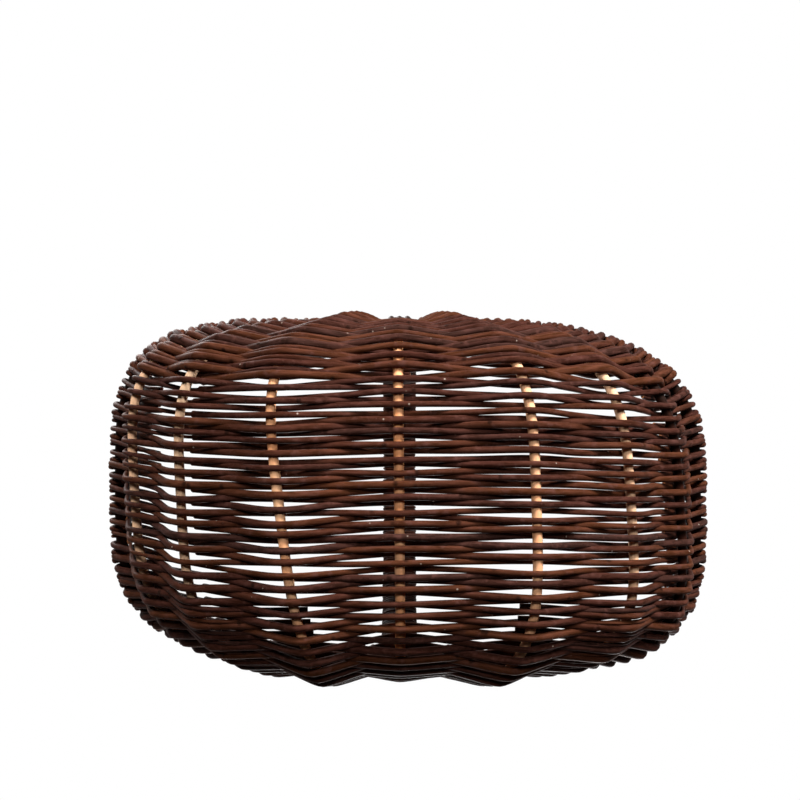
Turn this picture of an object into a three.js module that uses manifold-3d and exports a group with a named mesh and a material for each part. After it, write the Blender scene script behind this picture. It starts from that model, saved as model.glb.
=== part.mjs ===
// Hoop-and-rib willow shopping basket, in millimetres, +Z up, standing on z = 0.
// The rim hoop lies in a level plane, the ribs hang from its two ears, and the
// weaving rods pass over and under the ribs from one end of the rim to the other.

import * as THREE from 'three';
import { mergeVertices } from 'three/addons/utils/BufferGeometryUtils.js';
import Module from 'manifold-3d';

const wasm = await Module();
wasm.setup();

// Driving dimensions of the bowl
const LEFT_HALF_LENGTH = 228;
const RIGHT_HALF_LENGTH = 242;
const RIM_HALF_WIDTH = 134;
const BOWL_DEPTH = 180;
const OUTLINE_EXPONENT = 3.8;
const END_LEAN = 8;

// Driving dimensions of the hoops, ribs and rods
const RIM_DIAMETER = 10;
const RIB_DIAMETER = 7;
const RIB_TIP_DIAMETER = 4;
const ROD_DIAMETER = 4.2;
const ROW_GAP = 0.45;
const WEAVE_CLEARANCE = 0.5;

// Driving dimensions of the handle
const HANDLE_HEIGHT = 200;
const HANDLE_ROD_DIAMETER = 8;
const HANDLE_ROD_GAP = 0.6;
const HANDLE_LEG_DEPTH = 34;
const WRAP_WIDTH = 8;
const WRAP_THICKNESS = 1.6;
const WRAP_SLACK = 0.8;
const WRAP_LOOPS = 24;

// Driving dimensions of the ears
const EAR_DROP = 62;
const EAR_RISE = 4;
const EAR_COVER = 3;
const RIB_SOCKET_DEPTH = 22;
const SEAT_CLEARANCE = 0.3;
const FOOT_FLAT = 1;

// Counts: stakes are numbered from the rim at the left, -4, over the keel, 0, to the rim at the right, 4
const LAST_STAKE = 4;
const ROWS_PER_ROD = 2;
const ROWS_PER_RIB_STEP = 3;
const ROD_SIDES = 5;
const HOOP_SIDES = 6;
const EAR_STEPS = 12;
const HANDLE_STEPS = 26;
const WRAP_CORNERS_PER_SIDE = 4;

// How far each stake stands out from the plain half ellipse, from the keel outwards:
// the keel is drawn in, so that the basket stands on the two ribs beside it
const STAND_OUT = [0.93, 1.04, 1, 0.975, 1];

// How far each stake, from the left, stands to the right of its even place, and its lean to the right per mm of Y
const STAKE_SHIFT = [0, 0, 0, 5.5, 0, 1, 0, 0, 0];
const STAKE_LEAN = [0, 0.06, 0.05, 0.12, 0.01, 0.03, 0.06, 0.06, 0];

const WILLOW_BROWN = 0x5a3a2c;
const PEELED_WILLOW = 0xc79a6b;
const DARK_HOOP = 0x2c2019;

const stakeAngle = Math.PI / 2 / LAST_STAKE;
const rodRadius = ROD_DIAMETER / 2;
const rimRadius = RIM_DIAMETER / 2;
const legRadius = HANDLE_ROD_DIAMETER / 2;
const handlePitch = HANDLE_ROD_DIAMETER + HANDLE_ROD_GAP;
const legY = RIM_HALF_WIDTH + rimRadius + SEAT_CLEARANCE + legRadius;

// The hand-made bowl reaches further from the handle to the right than to the left
function halfLength(side) {
  return side < 0 ? LEFT_HALF_LENGTH : RIGHT_HALF_LENGTH;
}

// The two ends of the hand-made bowl lean a little, the left towards -Y and the right towards +Y
function endLean(x) {
  const half = halfLength(x);
  const earHalf = half * EAR_DROP / BOWL_DEPTH;
  return Math.sign(x) * END_LEAN * THREE.MathUtils.smoothstep(Math.abs(x), earHalf, half);
}

// One stake's line on the bowl, from the ear at -Y (t = 0) to the ear at +Y (t = 1), with the rim at z = 0
class StakeLine extends THREE.Curve {
  constructor(stake) {
    super();
    this.arcLengthDivisions = 800;
    const reach = STAND_OUT[Math.abs(stake)];
    this.reachX = halfLength(stake) * reach * Math.sin(stake * stakeAngle);
    this.reachZ = -BOWL_DEPTH * reach * Math.cos(stake * stakeAngle);
    this.shift = STAKE_SHIFT[stake + LAST_STAKE];
    this.lean = STAKE_LEAN[stake + LAST_STAKE];
  }

  getPoint(t) {
    const angle = (t - 0.5) * Math.PI;
    const power = 2 / OUTLINE_EXPONENT;
    const across = Math.sign(angle) * Math.abs(Math.sin(angle)) ** power;
    const out = Math.max(Math.cos(angle), 0) ** power;
    const y = RIM_HALF_WIDTH * across;
    const x = this.reachX * out + (this.shift + this.lean * y) * out * out;
    return new THREE.Vector3(x, y + endLean(x), this.reachZ * out);
  }
}

const stakes = new Map();
for (let stake = -LAST_STAKE; stake <= LAST_STAKE; stake += 1) {
  stakes.set(stake, new StakeLine(stake));
}
const keelLine = stakes.get(0);

// Share of a stake line's t at a distance along the keel from the ear at -Y
function keelShare(distance) {
  return keelLine.getUtoTmapping(0, distance);
}

// A closed tube through rings of given radii, capped at both ends unless it is a closed hoop.
// Each section is turned as little as possible from the one before it.
function loftTube(points, radiusAt, sides, { closed = false, flatten = 1, normals = null } = {}) {
  const count = points.length;
  const positions = [];
  const index = [];
  const tangentAt = (i) => {
    const before = closed ? points[(i + count - 1) % count] : points[Math.max(i - 1, 0)];
    const after = closed ? points[(i + 1) % count] : points[Math.min(i + 1, count - 1)];
    return after.clone().sub(before).normalize();
  };
  const turn = new THREE.Quaternion();
  let tangent = tangentAt(0);
  const level = Math.abs(tangent.z) < 0.9;
  let normal = level ? new THREE.Vector3(0, 0, 1) : new THREE.Vector3(1, 0, 0);
  for (let i = 0; i < count; i += 1) {
    const next = tangentAt(i);
    turn.setFromUnitVectors(tangent, next);
    normal = normals ? normals[i].clone() : normal.applyQuaternion(turn);
    normal.addScaledVector(next, -normal.dot(next)).normalize();
    tangent = next;
    const across = tangent.clone().cross(normal);
    for (let s = 0; s < sides; s += 1) {
      const angle = (s / sides) * 2 * Math.PI + Math.PI / sides;
      const ring = points[i].clone();
      ring.addScaledVector(normal, Math.cos(angle) * radiusAt(i / (count - 1)) * flatten);
      ring.addScaledVector(across, Math.sin(angle) * radiusAt(i / (count - 1)));
      positions.push(ring.x, ring.y, ring.z);
    }
  }
  const spans = closed ? count : count - 1;
  for (let i = 0; i < spans; i += 1) {
    const here = i * sides;
    const there = ((i + 1) % count) * sides;
    for (let s = 0; s < sides; s += 1) {
      const next = (s + 1) % sides;
      index.push(here + s, here + next, there + s, here + next, there + next, there + s);
    }
  }
  if (!closed) {
    const last = (count - 1) * sides;
    for (let s = 1; s < sides - 1; s += 1) {
      index.push(0, s + 1, s, last, last + s, last + s + 1);
    }
  }
  const geometry = new THREE.BufferGeometry();
  geometry.setAttribute('position', new THREE.Float32BufferAttribute(positions, 3));
  geometry.setIndex(index);
  return geometry;
}

// Solids for cutting
function toSolid(geometry) {
  const bare = geometry.clone();
  bare.deleteAttribute('normal');
  bare.deleteAttribute('uv');
  const merged = mergeVertices(bare, 1e-4);
  const vertProperties = new Float32Array(merged.attributes.position.array);
  const triVerts = new Uint32Array(merged.index.array);
  return new wasm.Manifold(new wasm.Mesh({ numProp: 3, vertProperties, triVerts }));
}

function toGeometry(solid) {
  const mesh = solid.getMesh();
  const geometry = new THREE.BufferGeometry();
  geometry.setAttribute('position', new THREE.Float32BufferAttribute(mesh.vertProperties, 3));
  geometry.setIndex(new THREE.Uint32BufferAttribute(mesh.triVerts, 1));
  return geometry;
}

// Share of a line's length at which it has dropped a given depth below the rim
function nearestShare(line, drop) {
  let low = 0;
  let high = 0.5;
  for (let i = 0; i < 40; i += 1) {
    const middle = (low + high) / 2;
    if (-line.getPointAt(middle).z < drop) low = middle;
    else high = middle;
  }
  return low;
}

// Row stations: equal steps along the keel between the two ears
const earArc = keelLine.getLength() * nearestShare(keelLine, EAR_DROP);
const rowPitch = ROD_DIAMETER + ROW_GAP;
const wovenArc = keelLine.getLength() - 2 * (earArc + rowPitch);
const rodCount = Math.floor(wovenArc / (rowPitch * ROWS_PER_ROD));
const rowCount = rodCount * ROWS_PER_ROD;
const rowStep = wovenArc / rowCount;

function rowShare(row) {
  return keelShare(earArc + rowPitch + (row + 0.5) * rowStep);
}

// Rib thickness at a share of its line: full in the middle, tapering to its pointed ends in the ears
function ribRadius(t) {
  const nearEnd = Math.min(t, 1 - t);
  const grow = THREE.MathUtils.smoothstep(nearEnd, 0.02, 0.28);
  return THREE.MathUtils.lerp(RIB_TIP_DIAMETER, RIB_DIAMETER, grow) / 2;
}

function stakeRadius(stake, t) {
  return Math.abs(stake) === LAST_STAKE ? rimRadius : ribRadius(t);
}

// Outward direction of the bowl at a stake: square to the stake line and to the row that crosses it
function outwardAt(stake, t) {
  const along = stakes.get(stake).getTangent(t);
  const inner = stakes.get(Math.max(stake - 1, -LAST_STAKE)).getPoint(t);
  const outer = stakes.get(Math.min(stake + 1, LAST_STAKE)).getPoint(t);
  const rowLine = outer.sub(inner);
  if (Math.abs(stake) === LAST_STAKE) {
    rowLine.set(0, 0, Math.sign(stake));
  }
  return along.cross(rowLine).normalize();
}

// Where a row passes a stake: on the outside for side 1 and on the inside for side -1. The offset grows
// with the bend, so that the straight runs between stakes clear the stake too.
function crossing(stake, t, side) {
  const place = stakes.get(stake).getPoint(t);
  const touch = stakeRadius(stake, t) + rodRadius + WEAVE_CLEARANCE;
  const neighbour = stakes.get(stake > 0 ? stake - 1 : stake + 1).getPoint(t);
  const span = neighbour.distanceTo(place);
  let offset = touch;
  for (let i = 0; i < 12; i += 1) {
    const bend = Math.atan(2 * offset / span) + stakeAngle / 2;
    offset = touch / Math.cos(bend);
  }
  return place.addScaledVector(outwardAt(stake, t), side * offset);
}

// Points of the half turn round the rim, from the side where one row ends to the side where the next starts
function rimTurn(stake, tFrom, tTo, side) {
  const steps = 3;
  const reach = (rimRadius + rodRadius + WEAVE_CLEARANCE) / Math.cos(Math.PI / steps / 2);
  const points = [];
  for (let i = 0; i <= steps; i += 1) {
    const t = THREE.MathUtils.lerp(tFrom, tTo, i / steps);
    const angle = (i / steps) * Math.PI;
    const place = stakes.get(stake).getPoint(t);
    place.addScaledVector(outwardAt(stake, t), side * Math.cos(angle) * reach);
    place.z += Math.sin(angle) * reach;
    points.push(place);
  }
  return points;
}

// The rows of one weaving rod, as one unbroken line that turns round the rim between rows. Its two ends
// are cut level with the top of the rim.
function rodLine(firstRow, lastRow, startsLeft) {
  const points = [];
  for (let row = firstRow; row <= lastRow; row += 1) {
    const t = rowShare(row);
    const toRight = ((row - firstRow) % 2 === 0) === startsLeft;
    const from = toRight ? -LAST_STAKE : LAST_STAKE;
    const step = toRight ? 1 : -1;
    for (let i = 0; i <= 2 * LAST_STAKE; i += 1) {
      const stake = from + i * step;
      const side = (row + stake) % 2 === 0 ? 1 : -1;
      const turnsBefore = i === 0 && row > firstRow;
      const turnsAfter = i === 2 * LAST_STAKE && row < lastRow;
      if (turnsAfter) points.push(...rimTurn(stake, t, rowShare(row + 1), side));
      else if (!turnsBefore) points.push(crossing(stake, t, side));
    }
  }
  const upward = new THREE.Vector3(0, 0, rimRadius);
  return [points[0].clone().add(upward), ...points, points.at(-1).clone().add(upward)];
}

// Stations along a rib or the rim: every few rows, and on into the ears
function woodStations(endDistance) {
  const stations = [keelShare(endDistance)];
  const earStations = 2;
  for (let i = 1; i <= earStations; i += 1) {
    stations.push(keelShare(THREE.MathUtils.lerp(endDistance, earArc, i / earStations)));
  }
  for (let row = 0; row < rowCount; row += ROWS_PER_RIB_STEP) stations.push(rowShare(row));
  for (let i = earStations; i >= 0; i -= 1) {
    stations.push(keelShare(keelLine.getLength() - THREE.MathUtils.lerp(endDistance, earArc, i / earStations)));
  }
  return stations;
}

function ribTube(stake, grow = 0) {
  const stations = woodStations(earArc - RIB_SOCKET_DEPTH - grow);
  const points = stations.map((t) => stakes.get(stake).getPoint(t));
  const radiusAt = (share) => ribRadius(stations[Math.round(share * (stations.length - 1))]) + grow;
  return loftTube(points, radiusAt, HOOP_SIDES);
}

function rimTube(grow = 0) {
  const stations = woodStations(earArc / 3);
  const right = stations.map((t) => stakes.get(LAST_STAKE).getPoint(t));
  const left = stations.map((t) => stakes.get(-LAST_STAKE).getPoint(t)).reverse();
  const pole = new THREE.Vector3(0, RIM_HALF_WIDTH, 0);
  const points = [pole.clone().negate(), ...right, pole, ...left];
  return loftTube(points, () => rimRadius + grow, HOOP_SIDES, { closed: true });
}

// One handle rod: up from its socket in one ear, over the arch and down into the other
function handleLine(slot, legEnd) {
  const x = slot * handlePitch;
  const points = [new THREE.Vector3(x, -legY, -legEnd)];
  for (let i = 0; i <= HANDLE_STEPS; i += 1) {
    const angle = (i / HANDLE_STEPS) * Math.PI;
    points.push(new THREE.Vector3(x, -Math.cos(angle) * legY, Math.sin(angle) * HANDLE_HEIGHT));
  }
  points.push(new THREE.Vector3(x, legY, -legEnd));
  return points;
}

function handleTube(slot, grow = 0) {
  return loftTube(handleLine(slot, HANDLE_LEG_DEPTH + grow), () => legRadius + grow, HOOP_SIDES);
}

// The handle's wrapping: a flat strip wound round the three rods in an even spiral. It bends at corners
// that are spread evenly round the two outer rods.
function wrapLine() {
  const reach = legRadius + WRAP_SLACK + WRAP_THICKNESS / 2;
  const cornerTurn = Math.PI / (WRAP_CORNERS_PER_SIDE - 1);
  const cornerReach = reach / Math.cos(cornerTurn / 2);
  const steps = WRAP_LOOPS * 2 * WRAP_CORNERS_PER_SIDE;
  const startAngle = Math.asin((EAR_RISE + rimRadius + WRAP_WIDTH) / HANDLE_HEIGHT);
  const points = [];
  const normals = [];
  for (let i = 0; i <= steps; i += 1) {
    const arch = THREE.MathUtils.lerp(startAngle, Math.PI - startAngle, i / steps);
    const corner = i % WRAP_CORNERS_PER_SIDE;
    const side = Math.floor(i / WRAP_CORNERS_PER_SIDE) % 2 === 0 ? 1 : -1;
    const angle = side * (Math.PI / 2 - corner * cornerTurn);
    const archOut = new THREE.Vector3(0, -Math.cos(arch) / legY, Math.sin(arch) / HANDLE_HEIGHT).normalize();
    const normal = archOut.multiplyScalar(Math.sin(angle));
    normal.x = side * Math.cos(angle);
    const place = new THREE.Vector3(side * handlePitch, -Math.cos(arch) * legY, Math.sin(arch) * HANDLE_HEIGHT);
    points.push(place.addScaledVector(normal, cornerReach));
    normals.push(normal);
  }
  return { points, normals };
}

// The least distance between stretches of a wound line that lie about a loop or more apart, less its width
function selfGap(points, width) {
  let least = Infinity;
  for (let i = 0; i < points.length; i += 1) {
    for (let j = i + 2 * WRAP_CORNERS_PER_SIDE - 1; j < points.length; j += 1) {
      least = Math.min(least, points[i].distanceTo(points[j]));
    }
  }
  return least - width;
}

// A plate with an outline in X and Z, between two distances from the middle of the basket
function uprightPlate(outline, inner, outer, end) {
  const geometry = new THREE.ExtrudeGeometry(outline, { depth: outer - inner, bevelEnabled: false });
  geometry.rotateX(Math.PI / 2);
  geometry.translate(0, end > 0 ? outer : -inner, 0);
  return toSolid(geometry);
}

// An ear: a bound fan over the rim and the ends of the ribs, with a cover for the handle legs outside it
// and sockets for all that it holds
function earSolid(end) {
  const share = EAR_DROP / BOWL_DEPTH;
  const top = rimRadius + EAR_RISE;
  const coverHalf = handlePitch + legRadius + EAR_COVER;
  const fan = new THREE.Shape();
  fan.moveTo(coverHalf, top);
  fan.lineTo(-coverHalf, top);
  for (let i = 0; i <= EAR_STEPS; i += 1) {
    const angle = (i / EAR_STEPS - 0.5) * Math.PI;
    fan.lineTo(Math.sin(angle) * halfLength(angle) * share, -Math.cos(angle) * EAR_DROP);
  }
  const cover = new THREE.Shape();
  const coverEnd = HANDLE_LEG_DEPTH + EAR_COVER;
  cover.moveTo(coverHalf, top);
  cover.lineTo(-coverHalf, top);
  cover.lineTo(-coverHalf, -HANDLE_LEG_DEPTH);
  cover.lineTo(-handlePitch, -coverEnd);
  cover.lineTo(handlePitch, -coverEnd);
  cover.lineTo(coverHalf, -HANDLE_LEG_DEPTH);
  const inner = RIM_HALF_WIDTH - rimRadius - EAR_COVER;
  const fanOuter = RIM_HALF_WIDTH + rimRadius;
  const outer = legY + legRadius + EAR_COVER;
  let solid = uprightPlate(fan, inner, fanOuter, end).add(uprightPlate(cover, inner, outer, end));
  solid = solid.subtract(toSolid(rimTube(SEAT_CLEARANCE)));
  for (let slot = -1; slot <= 1; slot += 1) {
    solid = solid.subtract(toSolid(handleTube(slot, SEAT_CLEARANCE)));
  }
  for (let stake = 1 - LAST_STAKE; stake < LAST_STAKE; stake += 1) {
    solid = solid.subtract(toSolid(ribTube(stake, SEAT_CLEARANCE)));
  }
  return toGeometry(solid);
}

// Assembly
const basket = new THREE.Group();
const standing = new THREE.Group();
basket.add(standing);

function addPiece(name, geometry, color, roughness) {
  const flat = geometry.index ? geometry.toNonIndexed() : geometry;
  flat.computeVertexNormals();
  const mesh = new THREE.Mesh(flat, new THREE.MeshStandardMaterial({ color, roughness, metalness: 0 }));
  mesh.name = name;
  standing.add(mesh);
  return mesh;
}

addPiece('rim_hoop', rimTube(), DARK_HOOP, 0.5);
for (let stake = 1 - LAST_STAKE; stake < LAST_STAKE; stake += 1) {
  const side = stake < 0 ? 'left' : 'right';
  const name = stake === 0 ? 'rib_keel' : `rib_${side}_${Math.abs(stake)}`;
  const dark = stake === LAST_STAKE - 1;
  addPiece(name, ribTube(stake), dark ? DARK_HOOP : PEELED_WILLOW, 0.6);
}

const rods = [];
for (let rod = 0; rod < rodCount; rod += 1) {
  const firstRow = rod * ROWS_PER_ROD;
  const line = rodLine(firstRow, firstRow + ROWS_PER_ROD - 1, rod % 2 === 0);
  rods.push(loftTube(line, () => rodRadius, ROD_SIDES));
}

// The rods that reach lowest are worn flat where the basket stands
const lowest = Math.min(...rods.map((rod) => {
  rod.computeBoundingBox();
  return rod.boundingBox.min.z;
}));
const floorLevel = lowest + FOOT_FLAT;
const floorBlock = new THREE.BoxGeometry(4 * RIGHT_HALF_LENGTH, 4 * RIM_HALF_WIDTH, BOWL_DEPTH);
floorBlock.translate(0, 0, floorLevel - BOWL_DEPTH / 2);
const floorSolid = toSolid(floorBlock);
rods.forEach((rod, i) => {
  const standsOnFloor = rod.boundingBox.min.z < floorLevel;
  const geometry = standsOnFloor ? toGeometry(toSolid(rod).subtract(floorSolid)) : rod;
  addPiece(`weaving_rod_${String(i + 1).padStart(2, '0')}`, geometry, WILLOW_BROWN, 0.5);
});

['front', 'middle', 'back'].forEach((place, i) => {
  addPiece(`handle_rod_${place}`, handleTube(i - 1), DARK_HOOP, 0.5);
});
const wrap = wrapLine();
console.log(`handle wrapping: least gap to itself ${selfGap(wrap.points, WRAP_WIDTH).toFixed(2)} mm`);
const strip = loftTube(wrap.points, () => WRAP_WIDTH / Math.SQRT2, 4, {
  flatten: WRAP_THICKNESS / WRAP_WIDTH,
  normals: wrap.normals,
});
addPiece('handle_wrapping', strip, WILLOW_BROWN, 0.55);
addPiece('ear_front', earSolid(-1), WILLOW_BROWN, 0.6);
addPiece('ear_back', earSolid(1), WILLOW_BROWN, 0.6);

standing.position.set((LEFT_HALF_LENGTH - RIGHT_HALF_LENGTH) / 2, 0, -floorLevel);

export default basket;
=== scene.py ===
"""Looks of a hoop-and-rib willow shopping basket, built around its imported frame."""

import math
import random

import bmesh
import bpy
import numpy as np
from bpy.props import FloatProperty, FloatVectorProperty, IntProperty, PointerProperty
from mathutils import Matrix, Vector


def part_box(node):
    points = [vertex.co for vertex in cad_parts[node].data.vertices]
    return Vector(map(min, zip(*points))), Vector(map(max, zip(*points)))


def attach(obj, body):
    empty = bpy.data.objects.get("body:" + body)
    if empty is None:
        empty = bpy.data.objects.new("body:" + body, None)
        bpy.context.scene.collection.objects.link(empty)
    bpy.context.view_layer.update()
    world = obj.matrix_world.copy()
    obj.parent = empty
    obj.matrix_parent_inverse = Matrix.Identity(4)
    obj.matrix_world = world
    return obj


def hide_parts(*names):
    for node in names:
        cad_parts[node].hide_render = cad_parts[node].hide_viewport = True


bl_info = {
    "name": "Woven Willow Basket",
    "version": (1, 0, 0),
    "blender": (4, 5, 0),
    "location": "View3D > Sidebar > Basket",
    "description": "Models the ribs, weaving rods, handle and ears of a willow shopping basket",
    "category": "Add Mesh",
}

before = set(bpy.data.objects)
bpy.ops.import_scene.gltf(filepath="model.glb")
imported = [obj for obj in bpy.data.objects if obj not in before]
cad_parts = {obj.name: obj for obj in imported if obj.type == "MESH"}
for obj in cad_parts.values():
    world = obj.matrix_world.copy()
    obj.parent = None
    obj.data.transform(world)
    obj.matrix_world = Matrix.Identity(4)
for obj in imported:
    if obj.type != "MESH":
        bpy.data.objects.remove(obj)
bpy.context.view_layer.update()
RIM_LOW, RIM_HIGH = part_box("rim_hoop")
BODY = "root"
MM = 0.001

# The handle, as the frame has it
LEG_LOW, LEG_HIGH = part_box("handle_rod_middle")
LEG_RADIUS = 4 * MM
LEG_TIP_RADIUS = 2.6 * MM
LEG_TAPER_HEIGHT = 70 * MM
DRAW_IN = 3.5 * MM
LEG_Y = LEG_HIGH.y - LEG_RADIUS
LEG_PITCH = 8.6 * MM
HANDLE_X = (LEG_LOW.x + LEG_HIGH.x) / 2

# The bowl, as the frame has it
RIM_RADIUS = 5 * MM
RIM_Z = (RIM_LOW.z + RIM_HIGH.z) / 2
LEFT_HALF_LENGTH = HANDLE_X - RIM_LOW.x - RIM_RADIUS
RIGHT_HALF_LENGTH = RIM_HIGH.x - RIM_RADIUS - HANDLE_X
RIM_HALF_WIDTH = RIM_HIGH.y - RIM_RADIUS
BOWL_DEPTH = 180 * MM
OUTLINE_EXPONENT = 3.8
END_LEAN = 8 * MM
STAND_OUT = (0.93, 1.04, 1.0, 0.975, 1.0)
STAKE_SHIFT = {-1: 5.5 * MM, 1: 1 * MM}
STAKE_LEAN = {-3: 0.06, -2: 0.05, -1: 0.12, 0: 0.01, 1: 0.03, 2: 0.06, 3: 0.06}
LAST_STAKE = len(STAND_OUT) - 1
STAKE_TURN = math.pi / 2 / LAST_STAKE
SHOULDER_DROP = {-1: 63 * MM, 1: 130 * MM}
SHOULDER_SPAN = {-1: 50 * MM, 1: 42 * MM}

# The ribs, by the number of their stake
RIB_TIP_RADIUS = 2 * MM
RIB_SOCKET_DEPTH = 22 * MM
# Share of the painted-light colour on each rib: painted light that makes the outer ribs paler where light
# falls on them, most on the left, and leaves the recessed keel darkest
RIB_PAINTED_LIGHT = {-3: 0.7, -2: 0.9, -1: 0.15, 0: 0.0, 1: 0.3, 2: 0.7}
KNOT_STAKE = -1
KNOT_SHARE = 0.42
RIM_GAP = 8 * MM

# The rows of the weave, counted from the front ear
ROD_NODES = sorted(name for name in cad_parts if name.startswith("weaving_rod_"))
ROWS_PER_ROD = 2
ROW_COUNT = ROWS_PER_ROD * len(ROD_NODES)
ROW_PITCH = 4.65 * MM
ROW_TILT = {-3: 0.7, -2: 1.3, -1: 0.6, 4: -1.2}
OPEN_WEAVE_FRONT = (17, 24)
OPEN_WEAVE_BACK = (24, 33)
NESTING = {-4: 0.0, -3: 0.0, -2: 0.4, -1: 1.0, 0: 1.0, 1: 0.8, 2: 0.25, 3: 0.0, 4: 0.0}
FLOOR_MARGIN = 1.65

# The weaving rods' thickness, ends and bends
SIDE_FULLNESS = 0.10
TIGHT_FULLNESS = 0.16
LEFT_THINNING = 0.26
FOLD_TUCK = 9 * MM
LOOP_TUCK = 6 * MM
BUTT_STAKE = -2
BUTT_CHANCE = 0.7
BUTT_REACH = 8 * MM
BUTT_STEP = 0.5 * MM
SMOOTH_HANDLE = 0.39
TIGHT_BEND = 0.4
OPEN_BEND = 0.85

# Thin tips inside both ends, and the thin rods that pack tight rows
TIP_RADIUS = 2.1 * MM
TIP_REACH = {-1: (0.28, 0.48), 1: (0.14, 0.26)}
TIP_ROWS = (8, 10)
TIP_START = (0.2, 0.7)
PACKED_ROWS = {-1: (2, 21), 1: (2, 20)}
PACKED_BACK_ROWS = (57, 82, 2)
LONG_PACKING_ROW = 14
PACKING_RADIUS = 1.8 * MM

# The ears and the handle's skein
EAR_DROP = 62 * MM
EAR_TOP_DROP = 7 * MM
EAR_ROW_PITCH = 3.1 * MM
EAR_BEND = 0.45
HANDLE_HEIGHT = LEG_HIGH.z - LEG_RADIUS - RIM_Z
SKEIN_START = RIM_RADIUS + 7 * MM
SKEIN_PITCH = 1.04
SKEIN_CORNERS = 4

# The photograph's camera
FRAME_PIXELS = 800
CAMERA_DISTANCE = 1.29
CAMERA_SIDE = -0.0065
CAMERA_ACROSS = -0.076
PIXELS_PER_METRE_AT_RIM = 1222
SENSOR_WIDTH = 36

# The studio: each lamp's place, width and watts
LAMPS = {
    "lamp_under": ((1.0, -1.25, -0.6), 0.5, 56),
    "lamp_under_left": ((-0.9, -1.25, -0.65), 0.5, 19),
    "lamp_under_front": ((0.05, -0.65, -1.38), 0.3, 9.5),
    "lamp_above": ((-0.9, -1.0, 1.7), 1.2, 54),
    "lamp_above_fill": ((0.2, 1.2, 1.7), 1.2, 46),
}
WORLD_LIGHT = 0.004
FLOOR_SIZE = 12
FLOOR_GLOW = 0.5
FLOOR_GLOW_NEAR = 0.7
FLOOR_GLOW_FAR = 2.6


class BasketSizes(bpy.types.PropertyGroup):
    """Sizes of the willow that a maker would choose"""

    rod_diameter: FloatProperty(
        name="Rod diameter", description="Middle thickness of a weaving rod",
        default=4.9 * MM, unit="LENGTH")
    rod_spread: FloatProperty(
        name="Rod spread", description="Share by which rods differ in thickness",
        default=0.14, subtype="FACTOR")
    rod_taper: FloatProperty(
        name="Rod taper", description="Share of its thickness that a rod loses from the keel to the rim",
        default=0.04, subtype="FACTOR")
    row_nesting: FloatProperty(
        name="Row nesting",
        description="Rows by which a rod leans to the next one where it passes over a rib",
        default=0.12)
    row_wander: FloatProperty(
        name="Row wander", description="Rows by which a rod strays from its line by chance",
        default=0.24)
    shoulder: FloatProperty(
        name="Shoulder", description="Height of the ribs' shoulders beside the handle legs",
        default=5.5 * MM, unit="LENGTH")
    rib_diameter: FloatProperty(
        name="Rib diameter", description="Middle thickness of a rib",
        default=7.4 * MM, unit="LENGTH")
    skein_diameter: FloatProperty(
        name="Skein diameter", description="Thickness of the rod wound round the handle",
        default=2.8 * MM, unit="LENGTH")
    seed: IntProperty(name="Seed", description="Seed of the maker's unevenness", default=11)


class BasketFinish(bpy.types.PropertyGroup):
    """Colours of the willow"""

    bark: FloatVectorProperty(
        name="Bark", description="Middle colour of the brown bark",
        default=(0.047, 0.0118, 0.0062), subtype="COLOR", size=3)
    bark_pale: FloatVectorProperty(
        name="Worn bark", description="Colour of the worn, greyer bark",
        default=(0.098, 0.040, 0.0315), subtype="COLOR", size=3)
    bark_red: FloatVectorProperty(
        name="Red bark", description="Colour of the redder rods",
        default=(0.098, 0.0275, 0.0074), subtype="COLOR", size=3)
    bark_grey: FloatVectorProperty(
        name="Grey bark", description="Colour of the greyer rods",
        default=(0.033, 0.0142, 0.0104), subtype="COLOR", size=3)
    peeled: FloatVectorProperty(
        name="Peeled wood", description="Middle colour of the peeled ribs",
        default=(0.90, 0.34, 0.125), subtype="COLOR", size=3)
    peeled_pale: FloatVectorProperty(
        name="Pale peeled wood", description="Colour of the palest peeled wood",
        default=(0.98, 0.54, 0.29), subtype="COLOR", size=3)
    # Painted light: the paler colour that stands for light falling on the outer ribs
    painted_light: FloatVectorProperty(
        name="Painted light on ribs", description="Colour of the ribs that have bleached",
        default=(1.0, 0.66, 0.42), subtype="COLOR", size=3)
    dark: FloatVectorProperty(
        name="Dark hoops", description="Colour of the dark rim, rib and handle",
        default=(0.012, 0.005, 0.003), subtype="COLOR", size=3)
    speck: FloatVectorProperty(
        name="Specks", description="Colour of the small pale specks on the bark",
        default=(0.42, 0.33, 0.27), subtype="COLOR", size=3)
    floor: FloatVectorProperty(
        name="Floor", description="Colour of the studio floor",
        default=(0.38, 0.38, 0.37), subtype="COLOR", size=3)


def sizes():
    return bpy.context.scene.basket_sizes


def finish():
    return bpy.context.scene.basket_finish


# The bowl's lines

def smooth_step(value, low, high):
    part = min(max((value - low) / (high - low), 0.0), 1.0)
    return part * part * (3 - 2 * part)


def half_length(side):
    """The bowl reaches further from the handle to the right than to the left."""
    return LEFT_HALF_LENGTH if side < 0 else RIGHT_HALF_LENGTH


def end_lean(reach):
    """The left end of the bowl leans to the front and the right end to the back."""
    half = half_length(reach)
    ear_half = half * EAR_DROP / BOWL_DEPTH
    return math.copysign(END_LEAN * smooth_step(abs(reach), ear_half, half), reach)


def shoulder_rise(stake, drop, end):
    """How far the ribs beside the keel stand out, near the legs in front and lower down at the back."""
    if abs(stake) != 1:
        return 0.0
    away = abs(drop - SHOULDER_DROP[end]) / SHOULDER_SPAN[end]
    return sizes().shoulder * (1 - smooth_step(away, 0.0, 1.0))


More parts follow.
